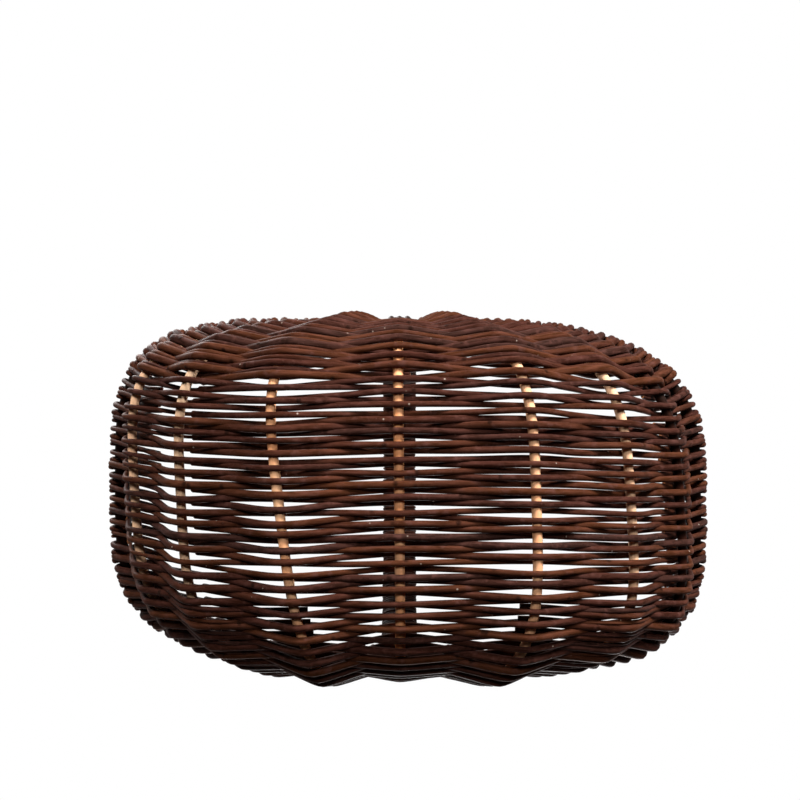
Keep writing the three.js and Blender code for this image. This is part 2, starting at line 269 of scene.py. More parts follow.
def stake_place(stake, share):
    """Point of a stake's line, from the front ear (0) to the back ear (1)."""
    reach = STAND_OUT[abs(stake)]
    angle = (share - 0.5) * math.pi
    power = 2 / OUTLINE_EXPONENT
    across = math.copysign(abs(math.sin(angle)) ** power, angle)
    out = max(math.cos(angle), 0.0) ** power
    turn = stake * STAKE_TURN
    y = RIM_HALF_WIDTH * across
    sway = STAKE_SHIFT.get(stake, 0.0) + STAKE_LEAN.get(stake, 0.0) * y
    x = half_length(stake) * reach * math.sin(turn) * out + sway * out * out
    z = RIM_Z - BOWL_DEPTH * reach * math.cos(turn) * out
    end = 1 if share > 0.5 else -1
    y += end_lean(x) + end * shoulder_rise(stake, RIM_Z - z, end)
    return Vector((HANDLE_X + x, y, z))


KEEL_SHARES = np.linspace(0, 1, 4001)
KEEL_PLACES = np.array([stake_place(0, share) for share in KEEL_SHARES])
KEEL_STEPS = np.linalg.norm(np.diff(KEEL_PLACES, axis=0), axis=1)
KEEL_LENGTHS = np.concatenate(([0.0], np.cumsum(KEEL_STEPS)))
KEEL_LENGTH = float(KEEL_LENGTHS[-1])
HALF = len(KEEL_SHARES) // 2


def arc_at_drop(drop):
    """Length of the keel's line from the front rim down to a depth below it."""
    return float(np.interp(drop, RIM_Z - KEEL_PLACES[:HALF, 2], KEEL_LENGTHS[:HALF]))


EAR_ARC = arc_at_drop(EAR_DROP)
WOVEN_ARC = KEEL_LENGTH - 2 * (EAR_ARC + ROW_PITCH)
ROW_STEP = WOVEN_ARC / ROW_COUNT


def keel_share(distance):
    return float(np.interp(distance, KEEL_LENGTHS, KEEL_SHARES))


def row_share(row):
    return keel_share(EAR_ARC + ROW_PITCH + (row + 0.5) * ROW_STEP)


def outward(stake, share):
    """Outward direction of the bowl where a row passes a stake."""
    nudge = 1e-3
    along = stake_place(stake, share + nudge) - stake_place(stake, share - nudge)
    if abs(stake) == LAST_STAKE:
        across = Vector((0, 0, stake))
    else:
        across = stake_place(stake + 1, share) - stake_place(stake - 1, share)
    return along.cross(across).normalized()


def rib_radius(share):
    grow = smooth_step(min(share, 1 - share), 0.02, 0.28)
    middle = sizes().rib_diameter / 2
    return RIB_TIP_RADIUS + (middle - RIB_TIP_RADIUS) * grow


def stake_radius(stake, share):
    return RIM_RADIUS if abs(stake) == LAST_STAKE else rib_radius(share)


# Willow and its finishes

def new_group(name, inputs, outputs):
    group = bpy.data.node_groups.new(name, "ShaderNodeTree")
    for label, kind, default in inputs:
        socket = group.interface.new_socket(label, in_out="INPUT", socket_type=kind)
        socket.default_value = default
    for label, kind in outputs:
        group.interface.new_socket(label, in_out="OUTPUT", socket_type=kind)
    return group


def add_node(tree, kind, **values):
    """A new node with its settings."""
    node = tree.nodes.new(kind)
    for key, value in values.items():
        setattr(node, key, value)
    return node


def feed(tree, node, **links):
    """Sets or links a node's inputs, by their name or by i and their number."""
    for key, value in links.items():
        socket = node.inputs[int(key[1:])] if key[0] == "i" and key[1:].isdigit() else node.inputs[key]
        if isinstance(value, bpy.types.NodeSocket):
            tree.links.new(value, socket)
        else:
            socket.default_value = value
    return node


def math_node(tree, operation, first, second, third=0.0):
    node = add_node(tree, "ShaderNodeMath", operation=operation)
    feed(tree, node, i0=first, i1=second, i2=third)
    return node.outputs[0]


def blend(tree, share, first, second):
    node = add_node(tree, "ShaderNodeMix", data_type="RGBA")
    feed(tree, node, i0=share, i6=first, i7=second)
    return node.outputs[2]


def noise(tree, place, scale, detail=3.0, rough=0.55):
    node = add_node(tree, "ShaderNodeTexNoise")
    feed(tree, node, Vector=place, Scale=scale, Detail=detail, Roughness=rough)
    return node.outputs["Fac"]


def ramp(tree, value, low, high):
    node = add_node(tree, "ShaderNodeMapRange", clamp=True)
    feed(tree, node, i0=value, i1=low, i2=high)
    return node.outputs[0]


def willow_grain_group():
    """Masks for willow: streaks and a slow drift along the rod, blotches, flecks, knots, specks, a height."""
    if "Willow grain" in bpy.data.node_groups:
        return bpy.data.node_groups["Willow grain"]
    group = new_group("Willow grain", [
        ("Streak length", "NodeSocketFloat", 26.0),
        ("Streak count", "NodeSocketFloat", 5.0),
        ("Blotch size", "NodeSocketFloat", 55.0),
    ], [
        ("Streak", "NodeSocketFloat"),
        ("Blotch", "NodeSocketFloat"),
        ("Fleck", "NodeSocketFloat"),
        ("Knot", "NodeSocketFloat"),
        ("Speck", "NodeSocketFloat"),
        ("Drift", "NodeSocketFloat"),
        ("Height", "NodeSocketFloat"),
    ])
    entry = group.nodes.new("NodeGroupInput")
    leave = group.nodes.new("NodeGroupOutput")
    surface = add_node(group, "ShaderNodeUVMap", uv_map="UVMap")
    place = add_node(group, "ShaderNodeTexCoord").outputs["Object"]
    split = feed(group, add_node(group, "ShaderNodeSeparateXYZ"), i0=surface.outputs[0])
    along = math_node(group, "MULTIPLY", split.outputs[0], entry.outputs["Streak length"])
    around = math_node(group, "MULTIPLY", split.outputs[1], entry.outputs["Streak count"])
    tint = add_node(group, "ShaderNodeAttribute", attribute_name="tint")
    shift = math_node(group, "MULTIPLY", tint.outputs["Fac"], 37.0)
    joined = feed(group, add_node(group, "ShaderNodeCombineXYZ"), i0=around, i1=along, i2=shift)
    streak = noise(group, joined.outputs[0], 1.0, 4.0, 0.62)
    blotch = noise(group, place, entry.outputs["Blotch size"], 3.0, 0.6)
    fleck = ramp(group, noise(group, place, 620.0, 1.0, 0.5), 0.68, 0.74)
    cells = feed(group, add_node(group, "ShaderNodeTexVoronoi"), Vector=place, Scale=62.0)
    knot = ramp(group, cells.outputs["Distance"], 0.16, 0.07)
    spots = feed(group, add_node(group, "ShaderNodeTexVoronoi"), Vector=place, Scale=115.0)
    few = feed(group, add_node(group, "ShaderNodeSeparateColor"), i0=spots.outputs["Color"])
    speck = math_node(group, "MULTIPLY", ramp(group, spots.outputs["Distance"], 0.10, 0.05),
                      ramp(group, few.outputs[0], 0.72, 0.90))
    height = math_node(group, "ADD", math_node(group, "MULTIPLY", streak, 0.7), fleck)
    height = math_node(group, "ADD", height, knot)
    slow = math_node(group, "MULTIPLY", split.outputs[0], 12.0)
    course = feed(group, add_node(group, "ShaderNodeCombineXYZ"), i1=slow, i2=shift)
    drift = noise(group, course.outputs[0], 1.0, 2.0, 0.6)
    masks = {
        "Streak": streak, "Blotch": blotch, "Fleck": fleck, "Knot": knot, "Speck": speck,
        "Drift": drift, "Height": height,
    }
    for label, value in masks.items():
        group.links.new(value, leave.inputs[label])
    return group


def rgba(colour):
    return (*colour, 1.0)


def start_material(name, streak_length, streak_count, blotch_size):
    material = bpy.data.materials.new(name)
    material.use_nodes = True
    tree = material.node_tree
    shader = tree.nodes["Principled BSDF"]
    grain = tree.nodes.new("ShaderNodeGroup")
    grain.node_tree = willow_grain_group()
    grain.inputs["Streak length"].default_value = streak_length
    grain.inputs["Streak count"].default_value = streak_count
    grain.inputs["Blotch size"].default_value = blotch_size
    return material, tree, shader, grain


def set_bump(tree, shader, height, strength, distance):
    bump = feed(tree, add_node(tree, "ShaderNodeBump"), Height=height, Strength=strength, Distance=distance)
    tree.links.new(bump.outputs[0], shader.inputs["Normal"])


def bark_material():
    """Brown bark: redder and greyer rods, streaks, worn pale patches, knots, flecks and specks."""
    material, tree, shader, grain = start_material("willow_bark", 130.0, 7.0, 130.0)
    tint = add_node(tree, "ShaderNodeAttribute", attribute_name="tint")
    look = finish()
    drift = math_node(tree, "MULTIPLY_ADD", grain.outputs["Drift"], 1.5, -0.75)
    hue = math_node(tree, "ADD", tint.outputs["Fac"], drift)
    red_share = ramp(tree, hue, 0.45, 0.95)
    grey_share = ramp(tree, hue, 0.38, 0.02)
    base = blend(tree, red_share, rgba(look.bark), rgba(look.bark_red))
    base = blend(tree, grey_share, base, rgba(look.bark_grey))
    light = blend(tree, 0.4, base, rgba(look.bark_pale))
    deep = blend(tree, 0.6, base, rgba(look.dark))
    base = blend(tree, ramp(tree, grain.outputs["Streak"], 0.36, 0.64), deep, light)
    worn = math_node(tree, "MULTIPLY", ramp(tree, grain.outputs["Blotch"], 0.55, 0.72), 0.7)
    base = blend(tree, worn, base, rgba(look.bark_pale))
    base = blend(tree, math_node(tree, "MULTIPLY", grain.outputs["Knot"], 0.8), base, rgba(look.dark))
    base = blend(tree, math_node(tree, "MULTIPLY", grain.outputs["Fleck"], 0.5), base, rgba(look.bark_pale))
    base = blend(tree, math_node(tree, "MULTIPLY", grain.outputs["Speck"], 0.8), base, rgba(look.speck))
    tree.links.new(base, shader.inputs["Base Color"])
    rough = feed(tree, add_node(tree, "ShaderNodeMapRange"), i0=grain.outputs["Streak"], i3=0.40, i4=0.66)
    tree.links.new(rough.outputs[0], shader.inputs["Roughness"])
    shader.inputs["Specular IOR Level"].default_value = 0.01
    set_bump(tree, shader, grain.outputs["Height"], 0.6, 0.0006)
    return material


def peeled_material():
    """Peeled ribs: pale peach wood with tan patches and fine grain, with painted light that pales the
    well-lit outer ribs.
    """
    material, tree, shader, grain = start_material("peeled_wood", 14.0, 7.0, 26.0)
    look = finish()
    patches = ramp(tree, grain.outputs["Blotch"], 0.34, 0.66)
    base = blend(tree, patches, rgba(look.peeled), rgba(look.peeled_pale))
    # Painted light: each rib is paled towards the painted-light colour by its share in the rib table
    pale = add_node(tree, "ShaderNodeAttribute", attribute_name="tint")
    base = blend(tree, pale.outputs["Fac"], base, rgba(look.painted_light))
    deep = math_node(tree, "MULTIPLY", ramp(tree, grain.outputs["Streak"], 0.56, 0.34), 0.22)
    base = blend(tree, deep, base, rgba(look.bark_pale))
    hole = stake_place(KNOT_STAKE, KNOT_SHARE) + outward(KNOT_STAKE, KNOT_SHARE) * rib_radius(KNOT_SHARE)
    away = feed(tree, add_node(tree, "ShaderNodeVectorMath", operation="DISTANCE"),
                i0=tree.nodes.new("ShaderNodeTexCoord").outputs["Object"], i1=hole)
    base = blend(tree, ramp(tree, away.outputs["Value"], 1.7 * MM, 1.0 * MM), base, rgba(look.dark))
    tree.links.new(base, shader.inputs["Base Color"])
    shader.inputs["Roughness"].default_value = 0.6
    shader.inputs["Specular IOR Level"].default_value = 0.08
    set_bump(tree, shader, grain.outputs["Height"], 0.18, 0.0003)
    return material


def dark_material():
    """Dark hoops: near-black bark with a satin sheen and brown wear."""
    material, tree, shader, grain = start_material("dark_bark", 18.0, 6.0, 40.0)
    look = finish()
    worn = math_node(tree, "MULTIPLY", ramp(tree, grain.outputs["Blotch"], 0.40, 0.70), 0.55)
    base = blend(tree, worn, rgba(look.dark), rgba(look.bark))
    lines = math_node(tree, "MULTIPLY", ramp(tree, grain.outputs["Streak"], 0.52, 0.72), 0.5)
    base = blend(tree, lines, base, rgba(look.bark))
    tree.links.new(base, shader.inputs["Base Color"])
    shader.inputs["Roughness"].default_value = 0.5
    shader.inputs["Specular IOR Level"].default_value = 0.03
    set_bump(tree, shader, grain.outputs["Height"], 0.3, 0.0004)
    return material


def cut_material():
    """Cut ends: pale wood with brown blotches."""
    material, tree, shader, grain = start_material("cut_wood", 9.0, 9.0, 300.0)
    look = finish()
    base = blend(tree, grain.outputs["Blotch"], rgba(look.peeled), rgba(look.bark_pale))
    tree.links.new(base, shader.inputs["Base Color"])
    shader.inputs["Roughness"].default_value = 0.8
    set_bump(tree, shader, grain.outputs["Blotch"], 0.4, 0.0003)
    return material


MAKERS = {
    "willow_bark": bark_material,
    "peeled_wood": peeled_material,
    "dark_bark": dark_material,
    "cut_wood": cut_material,
}


def material_named(name):
    return bpy.data.materials.get(name) or MAKERS[name]()


def bend_tightly(knots, number, bend):
    """Shortens a knot's handles, so that the rod runs straight up to the bend."""
    knot = knots[number]
    before = knot.co - knots[number - 1].co
    after = knots[number + 1].co - knot.co
    along = (before.normalized() + after.normalized()).normalized()
    knot.handle_left_type = "FREE"
    knot.handle_right_type = "FREE"
    knot.handle_left = knot.co - along * before.length * bend * SMOOTH_HANDLE
    knot.handle_right = knot.co + along * after.length * bend * SMOOTH_HANDLE


def bent_rod(name, places, radii, material, tint, closed=False, steps=6, sides=3, bends=()):
    """A round willow rod along smooth places, as a mesh with its length and girth in its UV map."""
    curve = bpy.data.curves.new(name, "CURVE")
    curve.dimensions = "3D"
    curve.bevel_depth = MM
    curve.bevel_resolution = sides
    curve.resolution_u = steps
    curve.use_fill_caps = not closed
    spline = curve.splines.new("BEZIER")
    spline.bezier_points.add(len(places) - 1)
    spline.use_cyclic_u = closed
    for knot, place, radius in zip(spline.bezier_points, places, radii):
        knot.co = place
        knot.radius = radius / MM
        knot.handle_left_type = "AUTO"
        knot.handle_right_type = "AUTO"
    for number, bend in enumerate(bends):
        if bend < 1:
            bend_tightly(spline.bezier_points, number, bend)
    line = bpy.data.objects.new(name + "_line", curve)
    bpy.context.collection.objects.link(line)
    depsgraph = bpy.context.evaluated_depsgraph_get()
    mesh = bpy.data.meshes.new_from_object(line.evaluated_get(depsgraph))
    length = spline.calc_length()
    bpy.data.objects.remove(line)
    bpy.data.curves.remove(curve)
    mesh.name = name
    join_caps(mesh)
    scale_girth_map(mesh, length)
    strength = mesh.attributes.new("tint", "FLOAT", "POINT")
    strength.data.foreach_set("value", np.full(len(mesh.vertices), tint, dtype=np.float32))
    mesh.materials.clear()
    mesh.materials.append(material_named(material))
    mesh.materials.append(material_named("cut_wood"))
    for face in mesh.polygons:
        is_cap = len(face.vertices) == 3
        face.use_smooth = not is_cap
        face.material_index = 1 if is_cap else 0
    piece = bpy.data.objects.new(name, mesh)
    bpy.context.collection.objects.link(piece)
    return piece


def join_caps(mesh):
    """Joins the end caps to the rod, so that it is one closed skin."""
    skin = bmesh.new()
    skin.from_mesh(mesh)
    bmesh.ops.remove_doubles(skin, verts=skin.verts, dist=1e-6)
    bmesh.ops.recalc_face_normals(skin, faces=skin.faces)
    skin.to_mesh(mesh)
    skin.free()


def scale_girth_map(mesh, length):
    """Stretches the UV map so that it counts metres along the rod."""
    layer = mesh.uv_layers[0]
    layer.name = "UVMap"
    values = np.empty(2 * len(layer.data), dtype=np.float32)
    layer.data.foreach_get("uv", values)
    values[0::2] *= length
    layer.data.foreach_set("uv", values)


def place_piece(piece, slot, *nodes):
    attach(piece, BODY)
    if nodes:
        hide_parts(*nodes)
    return piece


# Weaving

def side_of(row, stake):
    """1 where a row passes outside a stake and -1 where it passes inside."""
    return 1 if (row + stake) % 2 == 0 else -1


def openness(row):
    """0 where the rows are packed tight, near the ears, and 1 where the weave is open."""
    front = smooth_step(row, *OPEN_WEAVE_FRONT)
    back = smooth_step(ROW_COUNT - 1 - row, *OPEN_WEAVE_BACK)
    return min(front, back)


def row_tilt(row, stake):
    """Rows by which the weave slants at a stake, fading out towards the ears."""
    middle = (ROW_COUNT - 1) / 2
    fade = 1 - smooth_step(abs(row - middle), 0.2 * ROW_COUNT, 0.5 * ROW_COUNT)
    return ROW_TILT.get(stake, 0.0) * fade


def crossing(stake, share, radius, side):
    """Where a rod of this radius passes a stake."""
    touch = stake_radius(stake, share) + radius
    place = stake_place(stake, share) + outward(stake, share) * touch * side
    place.z = max(place.z, FLOOR_MARGIN * radius)
    return place


def between(stake, share):
    """Half way to the next stake on the right, where a rod changes sides."""
    return (stake_place(stake, share) + stake_place(stake + 1, share)) / 2


def rim_turn(stake, share_from, share_to, radius, side, half_turns=1):
    """The turn over the rim from one row to the next, with a whole loop more for three half turns."""
    reach = RIM_RADIUS + radius
    steps = 4 * half_turns
    places = []
    for step in range(steps + 1):
        angle = math.pi * half_turns * step / steps
        share = share_from + (share_to - share_from) * step / steps
        out = outward(stake, share) * side * math.cos(angle) * reach
        places.append(stake_place(stake, share) + out + Vector((0, 0, math.sin(angle) * reach)))
    return places


def tucked_end(stake, row, radius, side):
    """The end of a rod, folded over the rim, or once round it if it comes from inside, and tucked down."""
    if side < 0:
        places = rim_turn(stake, row_share(row), row_share(row + 0.6), radius, -1, half_turns=2)
        places.append(places[-1] - Vector((0, 0, LOOP_TUCK)))
        return places
    places = rim_turn(stake, row_share(row), row_share(row - 0.3), radius, 1)
    places.append(places[-1] - Vector((0, 0, FOLD_TUCK)))
    return places


def butt_joint(place, right, step, luck):
    """A thin tip passes inside a rib, and a new rod's thick butt end takes over just right of it."""
    reach = (right - place).normalized()
    joint = place + reach * BUTT_REACH * luck.uniform(0.7, 1.2)
    thin = luck.uniform(0.55, 0.7)
    thick = luck.uniform(1.1, 1.22)
    added = [place, joint - reach * BUTT_STEP, joint + reach * BUTT_STEP]
    parts = [thin, thin, thick]
    if step < 0:
        added.reverse()
        parts.reverse()
    return added, parts


def rod_places(first_row, starts_left, radius, luck):
    """A rod's places, with the stake, the share of the rod's thickness and the bend of each."""
    places = []
    stakes = []
    shares = []
    bends = []
    last_row = first_row + ROWS_PER_ROD - 1
    for row in range(first_row, first_row + ROWS_PER_ROD):
        to_right = ((row - first_row) % 2 == 0) == starts_left
        step = 1 if to_right else -1
        start = -LAST_STAKE * step
        loose = openness(row)
        row_stray = loose * luck.uniform(-1, 1) * sizes().row_wander
        for index in range(2 * LAST_STAKE + 1):
            stake = start + index * step
            side = side_of(row, stake)
            lean = side * sizes().row_nesting * NESTING[stake]
            tilt = row_tilt(row, stake)
            next_tilt = row_tilt(row, stake + step)
            wander = luck.uniform(-1, 1) * sizes().row_wander
            stray = row_stray + tilt + loose * (lean + wander)
            drift = row_stray + (tilt + next_tilt) / 2 + loose * luck.uniform(-0.1, 0.1)
            at_end = index == 2 * LAST_STAKE
            rim_row = row + tilt
            has_butt = stake == BUTT_STAKE and side < 0 and luck.random() < BUTT_CHANCE
            added = []
            parts = []
            bend = 1.0
            if at_end and row < last_row:
                turn_shares = (row_share(rim_row), row_share(rim_row + 1))
                added = rim_turn(stake, *turn_shares, radius, side, half_turns=3)
            elif index == 0 and row == first_row:
                added = list(reversed(tucked_end(stake, rim_row, radius, side)))
            elif at_end:
                added = tucked_end(stake, rim_row, radius, side)
            elif index > 0:
                added = [crossing(stake, row_share(row + stray), radius, side)]
                bend = TIGHT_BEND + (OPEN_BEND - TIGHT_BEND) * loose
                if abs(stake) == LAST_STAKE - 1:
                    bend = TIGHT_BEND
            if has_butt:
                right = between(stake, row_share(row + drift)) if to_right else places[-1]
                added, parts = butt_joint(added[0], right, step, luck)
                bend = 1.0
            if not at_end:
                added.append(between(min(stake, stake + step), row_share(row + drift)))
            parts += [1.0] * (len(added) - len(parts))
            places += added
            shares += parts
            stakes += [stake] * len(added)
            bends += [bend] + [1.0] * (len(added) - 1)
    return places, stakes, shares, bends


class BASKET_OT_weaving_rods(bpy.types.Operator):
    """Weaves each brown rod over and under the ribs and round the rim"""

    bl_idname = "basket.weaving_rods"
    bl_label = "Weaving Rods"

    def execute(self, context):
        luck = random.Random(sizes().seed)
        for index, node in enumerate(ROD_NODES):
            spread = sizes().rod_spread
            radius = sizes().rod_diameter / 2 * luck.uniform(1 - spread, 1 + spread)
            places, stakes, shares, bends = rod_places(index * ROWS_PER_ROD, index % 2 == 0, radius, luck)
            slope = luck.uniform(-0.2, 0.06)
            loose = openness(index * ROWS_PER_ROD)
            radii = []
            for stake, share in zip(stakes, shares):
                way = stake / LAST_STAKE
                thick = 1 + sizes().rod_taper * (0.5 - smooth_step(abs(way), 0.35, 1.0)) + slope * way
                thick += SIDE_FULLNESS * (1.3 - loose) * smooth_step(abs(way), 0.3, 0.7)
                thick += TIGHT_FULLNESS * (1 - loose) * smooth_step(abs(way), 0.1, 0.4)
                thick -= LEFT_THINNING * loose * smooth_step(-way, 0.4, 0.75)
                radii.append(radius * thick * share * luck.uniform(0.95, 1.06))
            rod = bent_rod(node + "_willow", places, radii, "willow_bark", luck.random(), bends=bends)
            place_piece(rod, "brown_willow", node)
        return {"FINISHED"}


def inner_tip(side, row, start, reach):
    """Places of a thin tip tucked along the inside of an end, from below the rim past the last rib."""
    rib = side * (LAST_STAKE - 1)
    share = row_share(row + row_tilt(row, rib))
    at_rim = stake_place(side * LAST_STAKE, share)
    at_rib = stake_place(rib, share)
    beyond = stake_place(rib - side, share)
    inward = outward(rib, share) * -(stake_radius(rib, share) + 0.8 * sizes().rod_diameter)
    return [
        at_rim.lerp(at_rib, start) + inward * 0.6,
        at_rim.lerp(at_rib, 0.5 + 0.5 * start) + inward * 0.8,
        at_rib + inward,
        at_rib.lerp(beyond, 0.6 * reach) + inward * 0.9,
        at_rib.lerp(beyond, reach) + inward * 0.7,
    ]


def packing_places(side, row, radius):
    """Places of a short thin rod that packs the weave, on the sides that the row's own rod leaves free."""
    first = 1
    if side_of(row, side * (LAST_STAKE - 1)) < 0:
        first = 0 if row >= LONG_PACKING_ROW else 2
    share = row_share(row + 0.1 + row_tilt(row, side * first))
    inside = outward(side * first, share) * -(stake_radius(side * first, share) + radius)
    tip = stake_place(side * first, share).lerp(stake_place(side * (first - 1), share), 0.1)
    places = [tip + inside, stake_place(side * first, share) + inside]
    for number in range(first + 1, LAST_STAKE + 1):
        stake = side * number
        tilt = row_tilt(row, stake)
        half_tilt = (tilt + row_tilt(row, stake - side)) / 2
        places.append(between(min(stake, stake - side), row_share(row + 0.4 + half_tilt)))
        if number < LAST_STAKE:
            places.append(crossing(stake, row_share(row + 0.1 + tilt), radius, -side_of(row, stake)))
    return places + tucked_end(stake, row + 0.35 + tilt, radius, -side_of(row, stake))


class BASKET_OT_inner_tips(bpy.types.Operator):
    """Tucks thin tips along the inside of both ends and packs the tight rows with short thin rods"""

    bl_idname = "basket.inner_tips"
    bl_label = "Inner Tips"

    def execute(self, context):
        luck = random.Random(sizes().seed + 5)
        for side, label in ((-1, "left"), (1, "right")):
            tips = []
            for row in range(TIP_ROWS[0], ROW_COUNT - TIP_ROWS[1]):
                start = luck.uniform(*TIP_START)
                places = inner_tip(side, row + 0.5, start, luck.uniform(*TIP_REACH[side]))
                size = TIP_RADIUS * luck.uniform(0.8, 1.05)
                radii = [size, size, size, 0.9 * size, 0.7 * size]
                name = f"inner_tip_{label}_{row:02d}"
                tips.append(bent_rod(name, places, radii, "willow_bark", luck.random(), steps=4))
            for row in (*range(*PACKED_ROWS[side]), *range(*PACKED_BACK_ROWS)):
                size = PACKING_RADIUS * luck.uniform(0.85, 1.1)
                places = packing_places(side, row, size)
                radii = [size] * len(places)
                name = f"packing_{label}_{row:02d}"
                tips.append(bent_rod(name, places, radii, "willow_bark", luck.random(), steps=4))
            self.join_tips(tips, f"inner_tips_{label}")
        return {"FINISHED"}

    def join_tips(self, tips, name):
        """Makes one piece of the thin rods of an end."""
        piece = tips[0]
        chosen = {"active_object": piece, "object": piece, "selected_editable_objects": tips}
        with bpy.context.temp_override(**chosen):
            bpy.ops.object.join()
        piece.name = name
        piece.data.name = name
        place_piece(piece, "brown_willow")


# Ribs and rim

def wood_shares(end_distance, count):
    """Shares of places spread evenly along the keel's line, with a gap at both ends."""
    span = KEEL_LENGTH - 2 * end_distance
    return [keel_share(end_distance + span * number / (count - 1)) for number in range(count)]


class BASKET_OT_ribs(bpy.types.Operator):
    """Bends the peeled ribs and the dark one between the two ears"""

    bl_idname = "basket.ribs"
    bl_label = "Ribs"

    def execute(self, context):
        luck = random.Random(sizes().seed + 1)
        for stake in range(1 - LAST_STAKE, LAST_STAKE):
            side = "left" if stake < 0 else "right"
            node = "rib_keel" if stake == 0 else f"rib_{side}_{abs(stake)}"
            is_dark = stake == LAST_STAKE - 1
            shares = wood_shares(EAR_ARC - RIB_SOCKET_DEPTH, 40)
            places = [stake_place(stake, share) for share in shares]
            radii = [rib_radius(share) * luck.uniform(0.96, 1.04) for share in shares]
            material = "dark_bark" if is_dark else "peeled_wood"
            rib = bent_rod(node + "_wood", places, radii, material, RIB_PAINTED_LIGHT.get(stake, 0.0), sides=5)
            place_piece(rib, "dark_willow" if is_dark else "peeled_willow", node)
        return {"FINISHED"}


class BASKET_OT_rim_hoop(bpy.types.Operator):
    """Bends the dark rim hoop"""

    bl_idname = "basket.rim_hoop"
    bl_label = "Rim Hoop"

    def execute(self, context):
        luck = random.Random(sizes().seed + 2)
        shares = wood_shares(RIM_GAP, 36)
        right = [stake_place(LAST_STAKE, share) for share in shares]
        left = [stake_place(-LAST_STAKE, share) for share in reversed(shares)]
        front = Vector((HANDLE_X, -RIM_HALF_WIDTH, RIM_Z))
        back = Vector((HANDLE_X, RIM_HALF_WIDTH, RIM_Z))
        places = [front, *right, back, *left]
        radii = [RIM_RADIUS * luck.uniform(0.95, 1.03) for _ in places]
        rim = bent_rod("rim_hoop_wood", places, radii, "dark_bark", 0.2, closed=True, sides=5)
        place_piece(rim, "dark_willow", "rim_hoop")
        return {"FINISHED"}


# Handle and ears

def arch_radius(angle):
    """The handle rods thicken from their thin legs to the full arch."""
    grow = smooth_step(math.sin(angle) * HANDLE_HEIGHT, 0, LEG_TAPER_HEIGHT)
    return LEG_TIP_RADIUS + (LEG_RADIUS - LEG_TIP_RADIUS) * grow


def arch_place(slot, angle):
    """Point on the middle of a handle rod: slot -1, 0 or 1, side by side."""
    radius = arch_radius(angle)
    x = slot * LEG_PITCH * (0.3 + 0.7 * radius / LEG_RADIUS)
    height = math.sin(angle) * HANDLE_HEIGHT
    drawn_in = smooth_step(height, 4 * MM, 16 * MM) * (1 - smooth_step(height, 60 * MM, 120 * MM))
    y = LEG_Y - (LEG_RADIUS - radius) - DRAW_IN * drawn_in
    return Vector((HANDLE_X + x, -math.cos(angle) * y, RIM_Z + math.sin(angle) * HANDLE_HEIGHT))


def arch_out(angle):
    return Vector((0, -math.cos(angle) / LEG_Y, math.sin(angle) / HANDLE_HEIGHT)).normalized()


class BASKET_OT_handle(bpy.types.Operator):
    """Bends the three handle rods and winds the skein that covers them"""

    bl_idname = "basket.handle"
    bl_label = "Handle"

    def execute(self, context):
        luck = random.Random(sizes().seed + 3)
        for slot, label in ((-1, "front"), (0, "middle"), (1, "back")):
            self.bend_rod(slot, f"handle_rod_{label}", luck)
        self.wind_skein(luck)
        return {"FINISHED"}

    def bend_rod(self, slot, node, luck):
        """One rod of the arch, thinned at its legs, whose tips are tucked into the ears."""
        count = 30
        angles = [math.pi * number / count for number in range(1, count)]
        arch = [arch_place(slot, angle) for angle in angles]
        radii = [arch_radius(angle) * luck.uniform(0.96, 1.0) for angle in angles]
        front = self.leg(slot, -1)
        back = self.leg(slot, 1)
        leg_radii = [LEG_TIP_RADIUS * 0.8, LEG_TIP_RADIUS, LEG_TIP_RADIUS, LEG_TIP_RADIUS * 1.1]
        places = [*front, *arch, *reversed(back)]
        rod = bent_rod(node + "_wood", places, [*leg_radii, *radii, *reversed(leg_radii)],
                       "dark_bark", luck.random(), sides=4)
        place_piece(rod, "dark_willow", node)

    def leg(self, slot, end):
        """Places from the tucked tip up past the outside of the rim."""
        at_rim = RIM_HALF_WIDTH + RIM_RADIUS + LEG_TIP_RADIUS
        near = arch_place(slot, 0).x
        return [
            Vector((near, end * (RIM_HALF_WIDTH - RIM_RADIUS), LEG_LOW.z - 2 * LEG_RADIUS)),
            Vector((near, end * (at_rim - LEG_TIP_RADIUS), LEG_LOW.z + LEG_RADIUS)),
            Vector((near, end * at_rim, RIM_Z - 3 * LEG_RADIUS)),
            Vector((near, end * at_rim, RIM_Z)),
        ]

    def wind_skein(self, luck):
        """A split rod wound round the three rods, loop beside loop."""
        radius = sizes().skein_diameter / 2
        corners = SKEIN_CORNERS
        start = math.asin(SKEIN_START / HANDLE_HEIGHT)
        angles = np.linspace(start, math.pi - start, 400)
        line = np.array([arch_place(0, angle) for angle in angles])
        lengths = np.concatenate(([0.0], np.cumsum(np.linalg.norm(np.diff(line, axis=0), axis=1))))
        loops = int(lengths[-1] / (sizes().skein_diameter * SKEIN_PITCH))
        total = loops * 2 * corners
        places = []
        radii = []
        for number in range(total + 1):
            if number % (2 * corners) == 0:
                slip = luck.uniform(-0.12, 0.12) * sizes().skein_diameter
                width = radius * luck.uniform(0.88, 1.1)
            angle = float(np.interp(lengths[-1] * number / total + slip, lengths, angles))
            side = 1 if (number // corners) % 2 == 0 else -1
            turn = side * (math.pi / 2 - (number % corners) * math.pi / (corners - 1))
            out = arch_out(angle) * math.sin(turn)
            out.x = side * math.cos(turn)
            places.append(arch_place(side, angle) + out * (arch_radius(angle) + width))
            radii.append(width * luck.uniform(0.97, 1.03))
        skein = bent_rod("handle_wrapping_skein", places, radii, "dark_bark", 0.4, steps=2, sides=2)
        place_piece(skein, "brown_willow", "handle_wrapping")


